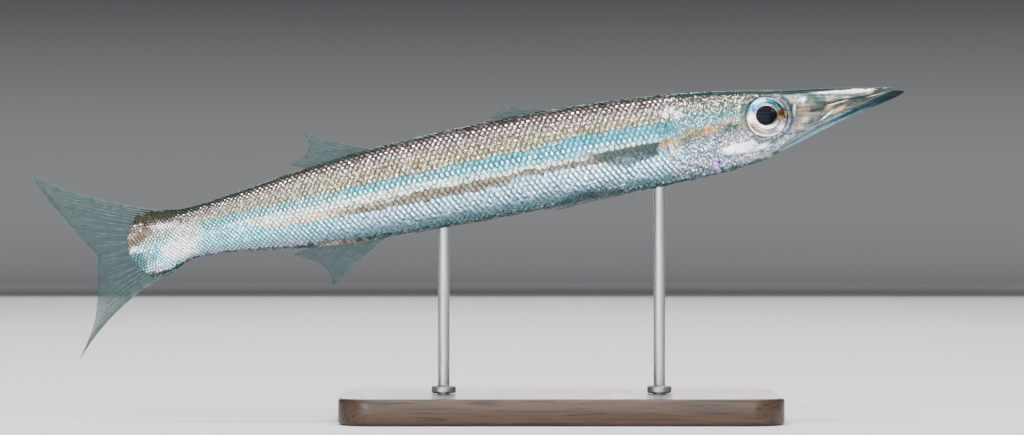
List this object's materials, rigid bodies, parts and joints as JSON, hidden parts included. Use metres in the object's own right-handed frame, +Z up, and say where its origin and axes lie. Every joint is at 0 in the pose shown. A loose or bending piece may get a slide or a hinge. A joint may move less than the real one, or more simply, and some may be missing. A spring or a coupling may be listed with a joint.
{
  "type": "barracuda display model",
  "caption": "Life-size still model of a slender, silvery barracuda, nose up, held by steel rods over a flat wooden base.",
  "frame": {"origin": "centre of the base's underside", "axes": "+X along the base towards the fish's snout, +Y across the base to the fish's left, +Z up"},
  "size_m": [0.3003, 0.076, 0.1143],
  "materials": {
    "silver_skin": "silvery scaled skin with an olive back, a turquoise band and a tan stripe",
    "fin_web": "thin greenish grey web on fine rays",
    "eye": "silver iris with a thin gold ring and a dark pupil, under a clear dome",
    "stand_wood": "dark oiled hardwood",
    "stand_steel": "brushed"
  },
  "bodies": {
    "root": {"head": "silver_skin", "lower_jaw": "silver_skin", "torso_front": "silver_skin", "torso_rear": "silver_skin", "tail_stalk": "silver_skin", "gill_cover_left": "silver_skin", "gill_cover_right": "silver_skin", "eye_left": "eye", "eye_right": "eye", "fin_first_dorsal": "fin_web", "fin_second_dorsal": "fin_web", "fin_anal": "fin_web", "fin_tail_upper": "fin_web", "fin_tail_lower": "fin_web", "fin_pectoral_left": "fin_web", "fin_pectoral_right": "fin_web", "fin_pelvic_left": "fin_web", "fin_pelvic_right": "fin_web", "stand_base": "stand_wood", "stand_rod_front": "stand_steel", "stand_rod_rear": "stand_steel"}
  },
  "joints": []
}
